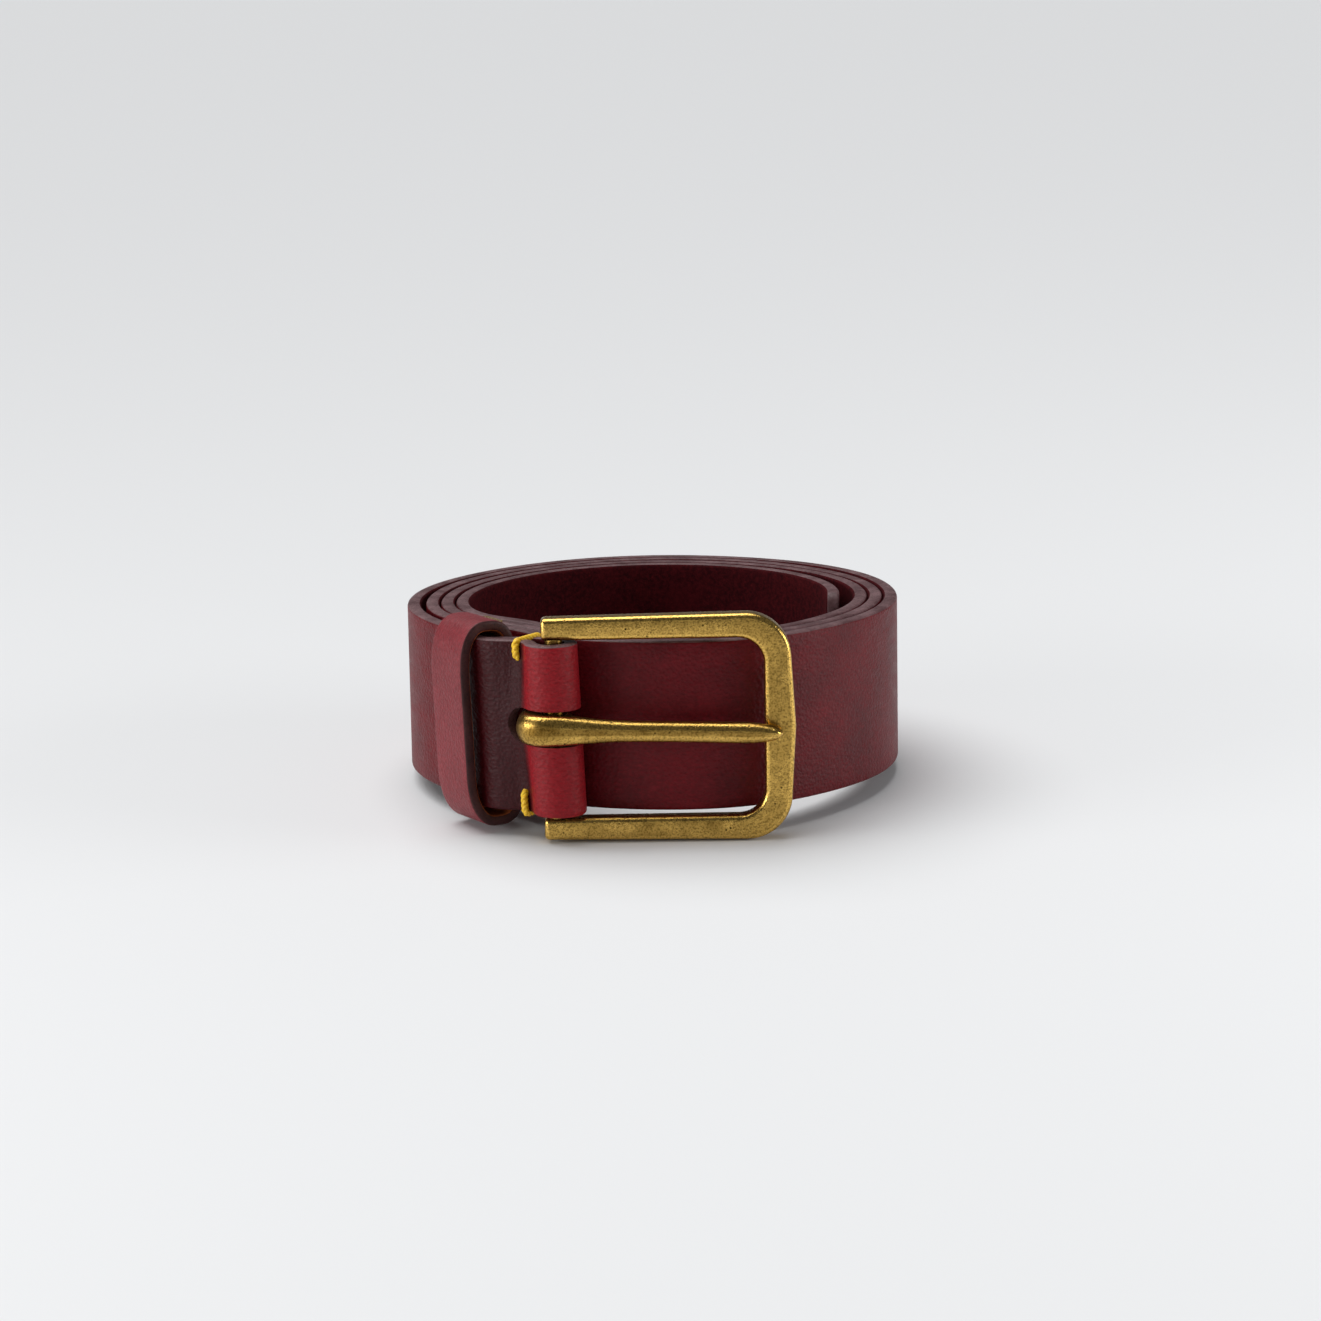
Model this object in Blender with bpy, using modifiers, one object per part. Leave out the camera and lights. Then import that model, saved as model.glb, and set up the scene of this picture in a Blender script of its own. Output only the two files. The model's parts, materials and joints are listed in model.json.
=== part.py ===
"""Leather belt rolled up on its edge, with a cast brass heel-bar buckle.

The strap is laid out in the plan view of the roll: X to the right, Y away from
the buckle side, Z across the strap's width, with the roll's axis as the origin.
The assembly empty then leans the whole belt back, because the buckle is taller
than the strap and props the front up, and stands it on the floor.
"""
import math

import bmesh
import bpy
from mathutils import Matrix, Vector

MM = 0.001
GAP = 0.3 * MM

# Strap: 38 mm bridle leather
STRAP_WIDTH = 38.0 * MM
STRAP_THICKNESS = 3.15 * MM
STRAP_MIDDLE = STRAP_WIDTH / 2
TIP_CORNER = 4.0 * MM

# Roll: an inward spiral, measured in degrees travelled clockwise from the buckle
ROLL_RADIUS = 57.85 * MM
ROLL_PITCH = 3.48 * MM
ROLL_START_POLAR = -112.0
ROLL_JOIN = 42.0
ROLL_END = 1328.0
ROLL_STEP = 5.0
LEFT_SWELL = 0.8 * MM
FRONT_SWELL = 2.6 * MM
FRONT_SWELL_POLAR = -72.0
FRONT_SWELL_SPREAD = 17.0
KEEPER_DENT = 4.3 * MM
KEEPER_DENT_POLAR = -135.0
KEEPER_DENT_SPREAD = 12.0
TIP_SPRING = 2.9 * MM
TIP_SPRING_START = 1235.0

# Belt holes, spaced along the strap from its tip
HOLE_COUNT = 5
HOLE_RADIUS = 2.3 * MM
HOLE_SPACING = 25.4 * MM
FIRST_HOLE = 89.0 * MM

# Buckle: bar, frame and prong
BAR_X = -23.0 * MM
BAR_Y = -57.0 * MM
BAR_RADIUS = 2.5 * MM
WRAP_RADIUS = BAR_RADIUS + 0.25 * MM + STRAP_THICKNESS / 2
FRAME_MIDDLE = 19.2 * MM
FRAME_DEPTH = 5.0 * MM
FRAME_LEFT = -25.8 * MM
FRAME_RIGHT = 29.9 * MM
FRAME_OPENING = 39.8 * MM
FRAME_ARM_BAR_END = 4.9 * MM
FRAME_ARM_FAR_END = 5.5 * MM
FRAME_FAR_BAR = 6.9 * MM
FRAME_OUTER_CORNER = 10.0 * MM
FRAME_INNER_CORNER = 5.8 * MM
FRAME_BOW = 0.9 * MM
FRAME_EDGE = 0.9 * MM
PRONG_MIDDLE = 19.1 * MM
PRONG_HEIGHT = 4.5 * MM
PRONG_HEEL_SCALE = 1.5
PRONG_HEEL_ROUND = -29.0 * MM
PRONG_HEEL_LENGTH = 2.6 * MM
PRONG_DROP = 1.7 * MM
PRONG_EYE_RADIUS = 6.6 * MM
PRONG_EYE_X = -25.0 * MM
PRONG_EYE_Y = -58.8 * MM
PRONG_BORE = BAR_RADIUS + GAP
PRONG_TIP_X = 26.9 * MM
SLOT_HEIGHT = 8.0 * MM
SLOT_MIDDLE = 19.95 * MM
SLOT_LENGTH = 10.6 * MM
SLOT_HEADING = 146.0
SLOT_BACK = -5.8 * MM
SLOT_FRONT = 9.0 * MM

# Keeper loop
KEEPER_X = -40.75 * MM
KEEPER_Y = -43.6 * MM
KEEPER_HEADING = -58.0
KEEPER_WIDTH = 13.5 * MM
KEEPER_DEPTH = 14.4 * MM
KEEPER_HEIGHT = 46.4 * MM
KEEPER_MIDDLE = 18.8 * MM
KEEPER_LEATHER = 2.4 * MM
KEEPER_FRONT_SHOULDER = 10.4 * MM
KEEPER_FRONT_SQUARENESS = 2.4
KEEPER_BACK_SHOULDER = 8.0 * MM
KEEPER_BACK_SQUARENESS = 3.0

# Waxed thread
THREAD_RADIUS = 0.65 * MM
THREAD_HOLE_RADIUS = THREAD_RADIUS + GAP
TACK_FROM_BAR = 5.7 * MM
TACK_INSET = 3.2 * MM
TACK_THROUGH = 7.6 * MM
SEAM_RADIUS = 0.5 * MM
SEAM_STITCH = 8.0 * MM
SEAM_ANGLE = 50.0

# The front layer between the bar and the roll, on the leather's middle line
LEAD_IN = [
    (-28.4, -54.4), (-30.8, -52.7), (-33.6, -52.0), (-36.4, -51.0),
    (-38.9, -48.9), (-41.3, -44.8), (-43.7, -39.0), (-46.0, -33.2),
]
# The folded-back tail, from its cut end under the keeper to the bar
TAIL = [
    (-39.8, -40.8), (-38.3, -44.2), (-36.3, -47.1), (-33.1, -48.8),
    (-29.4, -49.6), (-26.0, -50.7),
]
TAIL_SKIVE = 0.5
WRAP_START = 60.0
WRAP_END = -180.0


# ---------------------------------------------------------------- plan curves

def bell(angle, middle, spread):
    """Smooth bump of height 1 around an angle, in degrees."""
    offset = (angle - middle + 180.0) % 360.0 - 180.0
    return math.exp(-0.5 * (offset / spread) ** 2)


def roll_point(travel):
    """Point on the strap's middle line after a travel in degrees along the roll."""
    polar = ROLL_START_POLAR - travel
    radius = ROLL_RADIUS - ROLL_PITCH * travel / 360.0
    if travel < 180.0:
        radius += LEFT_SWELL * bell(polar, 180.0, 18.0)
    else:
        radius += FRONT_SWELL * bell(polar, FRONT_SWELL_POLAR, FRONT_SWELL_SPREAD)
        radius -= KEEPER_DENT * bell(polar, KEEPER_DENT_POLAR, KEEPER_DENT_SPREAD)
    if travel > TIP_SPRING_START:
        free = (travel - TIP_SPRING_START) / (ROLL_END - TIP_SPRING_START)
        radius -= TIP_SPRING * free * free
    radius -= STRAP_THICKNESS / 2
    angle = math.radians(polar)
    return Vector((radius * math.cos(angle), radius * math.sin(angle)))


def smooth_through(points, steps):
    """Catmull-Rom curve through the points, without the first and last span."""
    result = []
    for before, start, end, after in zip(points, points[1:], points[2:], points[3:]):
        for i in range(steps):
            t = i / steps
            result.append(0.5 * (2 * start + (end - before) * t
                                 + (2 * before - 5 * start + 4 * end - after) * t ** 2
                                 + (3 * start - before - 3 * end + after) * t ** 3))
    result.append(points[-2])
    return result


def bar_point(angle):
    """Point on the middle line of the wrap round the bar, by polar angle."""
    turn = math.radians(angle)
    return Vector((BAR_X + WRAP_RADIUS * math.cos(turn),
                   BAR_Y + WRAP_RADIUS * math.sin(turn)))


def normal_at(points, index):
    """Unit normal pointing away from the roll's axis at a point of a path."""
    before = points[max(index - 1, 0)]
    after = points[min(index + 1, len(points) - 1)]
    along = (after - before).normalized()
    return Vector((-along.y, along.x))


def front_layer():
    """Middle line of the front layer, from the bar's left side to the roll."""
    points = [bar_point(WRAP_END + 30.0), bar_point(WRAP_END)]
    points += [Vector((x * MM, y * MM)) for x, y in LEAD_IN]
    points += [roll_point(ROLL_JOIN + i * 2 * ROLL_STEP) for i in range(2)]
    return smooth_through(points, 5)


def tail_layer():
    """Middle line of the folded-back tail, from its cut end to the bar's back."""
    points = [Vector((x * MM, y * MM)) for x, y in TAIL]
    points = [2 * points[0] - points[1]] + points
    points += [bar_point(WRAP_START), bar_point(WRAP_START - 20.0)]
    return smooth_through(points, 4)


def strap_path():
    """Whole middle line, from the tail's end round the bar and along the roll."""
    steps = int((WRAP_START - WRAP_END) / 10.0)
    wrap = [bar_point(WRAP_START - 10.0 * i) for i in range(1, steps)]
    turns = int((ROLL_END - ROLL_JOIN) / ROLL_STEP)
    roll = [roll_point(ROLL_JOIN + i * (ROLL_END - ROLL_JOIN) / turns)
            for i in range(1, turns + 1)]
    return tail_layer() + wrap + front_layer() + roll


def along_path(points, distance):
    """Point, outward normal and travelled index at a distance along a path."""
    for i in range(1, len(points)):
        span = (points[i] - points[i - 1]).length
        if distance <= span:
            place = points[i - 1].lerp(points[i], distance / span)
            return place, normal_at(points, i)
        distance -= span
    return points[-1], normal_at(points, len(points) - 1)


# ------------------------------------------------------------- scene building

def clear_scene():
    for old in list(bpy.data.objects):
        bpy.data.objects.remove(old, do_unlink=True)


def new_collection(name):
    collection = bpy.data.collections.new(name)
    bpy.context.scene.collection.children.link(collection)
    return collection


def material(name, colour, roughness, metallic=0.0):
    finish = bpy.data.materials.new(name)
    finish.use_nodes = True
    shader = finish.node_tree.nodes["Principled BSDF"]
    shader.inputs["Base Color"].default_value = (*colour, 1.0)
    shader.inputs["Roughness"].default_value = roughness
    shader.inputs["Metallic"].default_value = metallic
    return finish


def new_object(name, shape, collection, parent=None, finish=None):
    mesh = bpy.data.meshes.new(name)
    shape.to_mesh(mesh)
    shape.free()
    item = bpy.data.objects.new(name, mesh)
    collection.objects.link(item)
    item.parent = parent
    if finish:
        mesh.materials.append(finish)
    return item


def cutter(name, shape, collection, parent):
    item = new_object(name, shape, collection, parent)
    item.hide_render = True
    item.display_type = "WIRE"
    return item


def boolean(target, tool, operation):
    modifier = target.modifiers.new(tool.name, "BOOLEAN")
    modifier.operation = operation
    modifier.object = tool


def smooth_shading(item, angle=40.0):
    item.data.shade_smooth()
    item.data.set_sharp_from_angle(angle=math.radians(angle))


def cylinder(radius, height, segments, matrix):
    shape = bmesh.new()
    bmesh.ops.create_cone(shape, cap_ends=True, segments=segments, radius1=radius,
                          radius2=radius, depth=height, matrix=matrix)
    return shape


def obround(radius, reach, back, front, matrix):
    """Long round-ended solid: its length along X, its depth along Y."""
    shape = bmesh.new()
    for along in (0.0, reach):
        for depth in (back, front):
            lie = Matrix.Translation((along, depth, 0)) @ Matrix.Rotation(math.pi / 2, 4, "X")
            bmesh.ops.create_circle(shape, segments=24, radius=radius, matrix=matrix @ lie)
    hull = bmesh.ops.convex_hull(shape, input=shape.verts)
    inside = [v for v in hull["geom_interior"] if isinstance(v, bmesh.types.BMVert)]
    bmesh.ops.delete(shape, geom=inside, context="VERTS")
    loose = [e for e in shape.edges if not e.link_faces]
    bmesh.ops.delete(shape, geom=loose, context="EDGES")
    bmesh.ops.recalc_face_normals(shape, faces=shape.faces)
    return shape


def ribbon(points, closed, width, bottom):
    """Upright open strip along a plan path, ready for Solidify."""
    shape = bmesh.new()
    verts = [shape.verts.new((p.x, p.y, bottom)) for p in points]
    edges = [shape.edges.new(pair) for pair in zip(verts, verts[1:])]
    if closed:
        edges.append(shape.edges.new((verts[-1], verts[0])))
    raised = bmesh.ops.extrude_edge_only(shape, edges=edges)["geom"]
    top = [v for v in raised if isinstance(v, bmesh.types.BMVert)]
    bmesh.ops.translate(shape, verts=top, vec=(0, 0, width))
    return shape


def flat_plate(outline, depth):
    """Plate whose outline lies in the XZ plane, centred on Y = 0."""
    shape = bmesh.new()
    verts = [shape.verts.new((p.x, -depth / 2, p.y)) for p in outline]
    face = shape.faces.new(verts)
    pushed = bmesh.ops.extrude_face_region(shape, geom=[face])["geom"]
    moved = [v for v in pushed if isinstance(v, bmesh.types.BMVert)]
    bmesh.ops.translate(shape, verts=moved, vec=(0, depth, 0))
    bmesh.ops.recalc_face_normals(shape, faces=shape.faces)
    return shape


def arc(centre_x, centre_y, radius, start, end, steps):
    """Points on an arc, in degrees, both ends included."""
    points = []
    for i in range(steps + 1):
        angle = math.radians(start + (end - start) * i / steps)
        points.append(Vector((centre_x + radius * math.cos(angle),
                              centre_y + radius * math.sin(angle))))
    return points


def solidify(item, thickness):
    modifier = item.modifiers.new("Leather", "SOLIDIFY")
    modifier.thickness = thickness
    modifier.offset = 0.0
    modifier.use_even_offset = True


def thread(name, points, radius, collection, parent, finish):
    """Round thread through the points."""
    curve = bpy.data.curves.new(name, "CURVE")
    curve.dimensions = "3D"
    curve.bevel_depth = radius
    curve.bevel_resolution = 2
    curve.use_fill_caps = True
    spline = curve.splines.new("POLY")
    spline.points.add(len(points) - 1)
    for point, place in zip(spline.points, points):
        point.co = (*place, 1.0)
    curve.materials.append(finish)
    item = bpy.data.objects.new(name, curve)
    collection.objects.link(item)
    item.parent = parent
    return item


def rounded_ring(corners, radius, steps=4):
    """Closed path through the corners of a loop, each corner rounded off."""
    points = []
    count = len(corners)
    for i, corner in enumerate(corners):
        towards = (corners[i - 1] - corner).normalized() * radius
        onwards = (corners[(i + 1) % count] - corner).normalized() * radius
        for step in range(steps + 1):
            t = step / steps
            points.append(corner + towards * (1 - t) ** 2 + onwards * t ** 2)
    return points


# ------------------------------------------------------------------ the pieces

def skive_tail(strap):
    """Thin the tail towards its cut end, so that the keeper closes over it."""
    tail = tail_layer()
    group = strap.vertex_groups.new(name="leather")
    group.add(range(len(strap.data.vertices)), 1.0, "REPLACE")
    for vert in strap.data.vertices:
        for i, place in enumerate(tail):
            if (vert.co.xy - place).length < 1e-6:
                part = TAIL_SKIVE + (1.0 - TAIL_SKIVE) * i / len(tail)
                group.add([vert.index], part, "REPLACE")
    strap.modifiers["Leather"].vertex_group = group.name


def build_strap(parts, tools, parent, finish):
    path = strap_path()
    shape = ribbon(path, False, STRAP_WIDTH, 0.0)
    tip = path[-1]
    corners = [v for v in shape.verts if (v.co.xy - tip).length < 1e-6]
    bmesh.ops.bevel(shape, geom=corners, affect="VERTICES", offset=TIP_CORNER,
                    offset_type="OFFSET", segments=4, profile=0.5, material=-1)
    strap = new_object("strap", shape, parts, parent, finish)
    solidify(strap, STRAP_THICKNESS)
    skive_tail(strap)

    bar = Matrix.Translation((BAR_X, BAR_Y, SLOT_MIDDLE))
    round_cut = cylinder(WRAP_RADIUS + STRAP_THICKNESS / 2 + 0.5 * MM, SLOT_HEIGHT, 32, bar)
    boolean(strap, cutter("slot_round_bar", round_cut, tools, parent), "DIFFERENCE")

    heading = Matrix.Rotation(math.radians(SLOT_HEADING), 4, "Z")
    slot = obround(SLOT_HEIGHT / 2, SLOT_LENGTH - SLOT_HEIGHT / 2, SLOT_BACK, SLOT_FRONT,
                   bar @ heading)
    boolean(strap, cutter("slot_neck", slot, tools, parent), "DIFFERENCE")

    backwards = path[::-1]
    for i in range(HOLE_COUNT):
        place, normal = along_path(backwards, FIRST_HOLE + i * HOLE_SPACING)
        aim = Vector((normal.x, normal.y, 0)).to_track_quat("Z", "Y").to_matrix().to_4x4()
        matrix = Matrix.Translation((place.x, place.y, STRAP_MIDDLE)) @ aim
        punch = cylinder(HOLE_RADIUS, STRAP_THICKNESS + GAP, 16, matrix)
        boolean(strap, cutter(f"punch_{i + 1}", punch, tools, parent), "DIFFERENCE")
    return strap


def build_tacks(parts, tools, parent, strap, finish):
    """Hand-sewn tacks over the strap's two edges, through front layer and tail."""
    place, normal = along_path(front_layer(), TACK_FROM_BAR)
    stand_off = THREAD_RADIUS + GAP
    outer = place + normal * (STRAP_THICKNESS / 2 + stand_off)
    inner = outer - normal * (TACK_THROUGH + 2 * stand_off)
    middle = (outer + inner) / 2
    aim = Vector((normal.x, normal.y, 0)).to_track_quat("Z", "Y").to_matrix().to_4x4()
    for side, edge, inset in (("upper", STRAP_WIDTH, -TACK_INSET), ("lower", 0.0, TACK_INSET)):
        hole = edge + inset
        over = edge - math.copysign(stand_off, inset)
        corners = [Vector((outer.x, outer.y, hole)), Vector((outer.x, outer.y, over)),
                   Vector((inner.x, inner.y, over)), Vector((inner.x, inner.y, hole))]
        curve = thread(f"{side}_tack", rounded_ring(corners, 0.9 * MM), THREAD_RADIUS,
                       parts, parent, finish)
        curve.data.splines[0].use_cyclic_u = True
        matrix = Matrix.Translation((middle.x, middle.y, hole)) @ aim
        awl = cylinder(THREAD_HOLE_RADIUS, TACK_THROUGH + 2 * GAP, 12, matrix)
        boolean(strap, cutter(f"awl_{side}", awl, tools, parent), "DIFFERENCE")


def build_frame(parts, tools, parent, finish):
    """Cast frame with its heel bar, as one piece of brass."""
    half_opening = FRAME_OPENING / 2
    right_inner = FRAME_RIGHT - FRAME_FAR_BAR
    slope = (FRAME_ARM_FAR_END - FRAME_ARM_BAR_END) / (right_inner - FRAME_LEFT)
    corner_x = FRAME_RIGHT - FRAME_BOW - FRAME_OUTER_CORNER
    corner_y = (half_opening + FRAME_ARM_BAR_END + slope * (corner_x - FRAME_LEFT)
                - FRAME_OUTER_CORNER)
    upper = [Vector((FRAME_LEFT, half_opening + FRAME_ARM_BAR_END))]
    upper += arc(corner_x, corner_y, FRAME_OUTER_CORNER, 90.0, 5.0, 8)
    upper.append(Vector((FRAME_RIGHT, 0.0)))
    inner = arc(right_inner - FRAME_INNER_CORNER, half_opening - FRAME_INNER_CORNER,
                FRAME_INNER_CORNER, 0.0, 90.0, 6)
    inner.append(Vector((FRAME_LEFT, half_opening)))
    mirrored = [Vector((p.x, -p.y)) for p in reversed(upper[:-1])]
    lower_inner = [Vector((p.x, -p.y)) for p in reversed(inner)]
    shape = flat_plate(upper + mirrored + lower_inner + inner, FRAME_DEPTH)
    sharp = [e for e in shape.edges if e.calc_face_angle(0.0) > math.radians(60.0)]
    bmesh.ops.bevel(shape, geom=sharp, affect="EDGES", offset=FRAME_EDGE,
                    offset_type="OFFSET", segments=2, profile=0.5, material=-1)
    frame = new_object("buckle_frame", shape, parts, parent, finish)
    frame.location = (0.0, BAR_Y, FRAME_MIDDLE)

    stand = Matrix.Translation((BAR_X, BAR_Y, FRAME_MIDDLE))
    bar = cylinder(BAR_RADIUS, FRAME_OPENING + 3.0 * MM, 32, stand)
    boolean(frame, cutter("heel_bar", bar, tools, parent), "UNION")
    return frame


def build_prong(parts, tools, parent, finish):
    """Prong cast with an eye that closes round the heel bar."""
    rest = BAR_Y - FRAME_DEPTH / 2 - GAP
    eye = arc(PRONG_EYE_X, PRONG_EYE_Y, PRONG_EYE_RADIUS, -85.0, -365.0, 28)
    back = [Vector((-14.0 * MM, rest - 0.6 * MM)), Vector((0.0, rest - 0.4 * MM)),
            Vector((14.0 * MM, rest)), Vector((22.0 * MM, rest))]
    tip = arc(PRONG_TIP_X - 1.6 * MM, rest - 1.7 * MM, 1.6 * MM, 60.0, -80.0, 6)
    front = [Vector((18.0 * MM, rest - 4.0 * MM)), Vector((4.0 * MM, rest - 4.1 * MM)),
             Vector((-10.0 * MM, rest - 4.6 * MM))]
    outline = eye + back + tip + front
    shape = bmesh.new()
    verts = [shape.verts.new((p.x, p.y, -PRONG_HEIGHT / 2)) for p in outline]
    face = shape.faces.new(verts)
    pushed = bmesh.ops.extrude_face_region(shape, geom=[face])["geom"]
    moved = [v for v in pushed if isinstance(v, bmesh.types.BMVert)]
    bmesh.ops.translate(shape, verts=moved, vec=(0, 0, PRONG_HEIGHT))
    bmesh.ops.recalc_face_normals(shape, faces=shape.faces)
    length = PRONG_TIP_X - PRONG_EYE_X
    for vert in shape.verts:
        reach = min(max((vert.co.x - PRONG_EYE_X) / length, 0.0), 1.0)
        heel = math.exp(-(reach / 0.22) ** 2)
        taper = 1.0 - 0.55 * max(reach - 0.86, 0.0) / 0.14
        taper *= 1.0 - 0.45 * max(PRONG_HEEL_ROUND - vert.co.x, 0.0) / PRONG_HEEL_LENGTH
        vert.co.z *= taper * (1.0 + (PRONG_HEEL_SCALE - 1.0) * heel)
        vert.co.z += PRONG_DROP * (0.5 - reach)
    ridge = [e for e in shape.edges if e.calc_face_angle(0.0) > math.radians(60.0)]
    bmesh.ops.bevel(shape, geom=ridge, affect="EDGES", offset=0.8 * MM,
                    offset_type="OFFSET", segments=2, profile=0.5, material=-1)
    prong = new_object("prong", shape, parts, parent, finish)
    prong.location = (0.0, 0.0, PRONG_MIDDLE)
    bore = cylinder(PRONG_BORE, 3 * PRONG_HEIGHT, 32,
                    Matrix.Translation((BAR_X, BAR_Y, PRONG_MIDDLE)))
    boolean(prong, cutter("prong_bore", bore, tools, parent), "DIFFERENCE")
    return prong


def shoulder(angle, depth, height, front=False):
    """Point on one of the loop's upper shoulders, and the way out of the leather."""
    rise = KEEPER_FRONT_SHOULDER if front else KEEPER_BACK_SHOULDER
    power = 2.0 / (KEEPER_FRONT_SQUARENESS if front else KEEPER_BACK_SQUARENESS)
    side = -1.0 if front else 1.0
    across, up = max(math.cos(angle), 0.0), max(math.sin(angle), 0.0)
    place = Vector((side * across ** power * depth / 2, height / 2 + rise * (up ** power - 1.0), 0.0))
    out = Vector((side * across ** (2.0 - power) * 2 / depth, up ** (2.0 - power) / rise, 0.0))
    return place, out.normalized()


def keeper_outline(depth, height):
    """Closed loop, in (depth, height) coordinates round its centre."""
    back = [shoulder(math.pi / 2 * i / 6, depth, height)[0] for i in range(7)]
    front = [shoulder(math.pi / 2 * i / 6, depth, height, True)[0] for i in range(6)]
    upper = back + front[::-1]
    return upper + [Vector((place.x, -place.y, 0.0)) for place in reversed(upper)]


def build_keeper(parts, tools, stand, leather, yellow):
    """Loop of thinner leather, closed by a stitch over its upper back shoulder."""
    depth = KEEPER_DEPTH - KEEPER_LEATHER
    height = KEEPER_HEIGHT - KEEPER_LEATHER
    shape = ribbon(keeper_outline(depth, height), True, KEEPER_WIDTH, -KEEPER_WIDTH / 2)
    keeper = new_object("keeper", shape, parts, stand, leather)
    solidify(keeper, KEEPER_LEATHER)

    skin, out = shoulder(math.radians(SEAM_ANGLE), depth, height)
    side = Vector((0, 0, SEAM_STITCH / 2))
    root = skin - out * GAP
    crown = skin + out * (KEEPER_LEATHER / 2 + SEAM_RADIUS + GAP)
    bend = Vector((0, 0, 0.6 * MM))
    stitch = [root - side, crown - out * 0.6 * MM - side, crown - side + bend,
              crown + side - bend, crown - out * 0.6 * MM + side, root + side]
    thread("keeper_stitch", stitch, SEAM_RADIUS, parts, stand, yellow)
    for label, shift in (("left", -side), ("right", side)):
        aim = out.to_track_quat("Z", "Y").to_matrix().to_4x4()
        awl = cylinder(SEAM_RADIUS + GAP, 2 * KEEPER_LEATHER, 12,
                       Matrix.Translation(skin + shift + out * KEEPER_LEATHER * 0.3) @ aim)
        boolean(keeper, cutter(f"awl_keeper_{label}", awl, tools, stand), "DIFFERENCE")
    return keeper


def finish_objects(parts):
    for item in parts.objects:
        if item.type == "MESH":
            smooth_shading(item)


def main():
    clear_scene()
    parts = new_collection("leather_belt")
    tools = new_collection("cutters")

    burgundy = material("burgundy_bridle_leather", (0.11, 0.012, 0.016), 0.45)
    brass = material("antique_brass", (0.45, 0.31, 0.09), 0.35, 1.0)
    yellow = material("waxed_yellow_thread", (0.85, 0.62, 0.03), 0.6)

    assembly = bpy.data.objects.new("assembly", None)
    parts.objects.link(assembly)

    strap = build_strap(parts, tools, assembly, burgundy)
    build_tacks(parts, tools, assembly, strap, yellow)
    build_frame(parts, tools, assembly, brass)
    build_prong(parts, tools, assembly, brass)

    stand = bpy.data.objects.new("keeper_stand", None)
    parts.objects.link(stand)
    stand.parent = assembly
    upright = Matrix(((0, 0, 1, 0), (1, 0, 0, 0), (0, 1, 0, 0), (0, 0, 0, 1)))
    heading = Matrix.Rotation(math.radians(KEEPER_HEADING), 4, "Z")
    stand.matrix_local = (Matrix.Translation((KEEPER_X, KEEPER_Y, KEEPER_MIDDLE))
                          @ heading @ upright)
    build_keeper(parts, tools, stand, burgundy, yellow)

    drop = FRAME_OPENING / 2 + FRAME_ARM_FAR_END - FRAME_MIDDLE
    reach = ROLL_RADIUS - 0.5 * ROLL_PITCH - BAR_Y - FRAME_DEPTH / 2
    lean = math.atan2(drop, reach)
    assembly.rotation_euler = (-lean, 0.0, 0.0)

    bpy.context.view_layer.update()
    depsgraph = bpy.context.evaluated_depsgraph_get()
    low = Vector((1.0, 1.0, 1.0))
    high = -low
    for item in parts.objects:
        if item.type == "EMPTY":
            continue
        solid = item.evaluated_get(depsgraph)
        for vert in solid.to_mesh().vertices:
            place = item.matrix_world @ vert.co
            low = Vector(map(min, low, place))
            high = Vector(map(max, high, place))
    assembly.location = (-(low.x + high.x) / 2, -(low.y + high.y) / 2, -low.z)

    finish_objects(parts)


main()
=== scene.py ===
"""Looks of a rolled-up bridle leather belt with an antique brass heel-bar buckle.

Everything is laid out in millimetres in the plan view of the roll, with the roll's
axis as the origin and Z across the strap's width, and then stood on the floor: the
buckle is taller than the strap, so the belt leans back a little.
"""

import json
import math

import bmesh
import bpy
from mathutils import Matrix, Vector, noise


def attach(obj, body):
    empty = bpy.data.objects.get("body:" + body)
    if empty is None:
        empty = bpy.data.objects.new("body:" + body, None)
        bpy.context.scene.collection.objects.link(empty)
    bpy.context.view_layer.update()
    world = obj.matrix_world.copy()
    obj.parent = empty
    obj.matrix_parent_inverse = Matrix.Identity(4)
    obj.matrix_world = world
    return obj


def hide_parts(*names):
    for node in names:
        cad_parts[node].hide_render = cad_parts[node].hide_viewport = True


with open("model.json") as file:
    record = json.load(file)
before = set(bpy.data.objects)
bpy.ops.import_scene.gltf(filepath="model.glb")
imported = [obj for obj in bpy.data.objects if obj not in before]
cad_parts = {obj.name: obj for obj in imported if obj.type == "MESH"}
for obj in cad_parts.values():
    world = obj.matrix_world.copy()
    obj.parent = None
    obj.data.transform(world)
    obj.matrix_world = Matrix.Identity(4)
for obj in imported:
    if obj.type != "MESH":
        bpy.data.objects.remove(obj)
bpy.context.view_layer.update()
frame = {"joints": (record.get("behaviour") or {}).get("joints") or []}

MM = 0.001
GAP = 0.3

# Strap
STRAP_WIDTH = 38.0
STRAP_THICKNESS = 3.15
STRAP_ROWS = 12
STRAP_EDGE = 0.72
TIP_CORNER = 4.0
TAIL_SKIVE = 0.5
EDGE_DRIFT = 0.3
EDGE_DRIFT_LENGTH = 55.0
EDGE_DRIFT_SEED = 3.1

# Roll, in degrees travelled clockwise from the buckle
ROLL_RADIUS = 57.85
ROLL_PITCH = 3.48
ROLL_START_POLAR = -112.0
ROLL_JOIN = 42.0
ROLL_END = 1328.0
ROLL_STEP = 1.5
OUTER_HALF_TURN = 180.0
LEFT_SWELL = 0.8
LEFT_SWELL_POLAR = 180.0
LEFT_SWELL_SPREAD = 18.0
FRONT_SWELL = 2.6
FRONT_SWELL_POLAR = -72.0
FRONT_SWELL_SPREAD = 17.0
KEEPER_DENT = 4.3
KEEPER_DENT_POLAR = -135.0
KEEPER_DENT_SPREAD = 12.0
TIP_SPRING = 2.9
TIP_SPRING_START = 1235.0

# Belt holes, from the tip
HOLE_COUNT = 5
HOLE_RADIUS = 2.3
HOLE_SPACING = 25.4
FIRST_HOLE = 89.0

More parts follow.
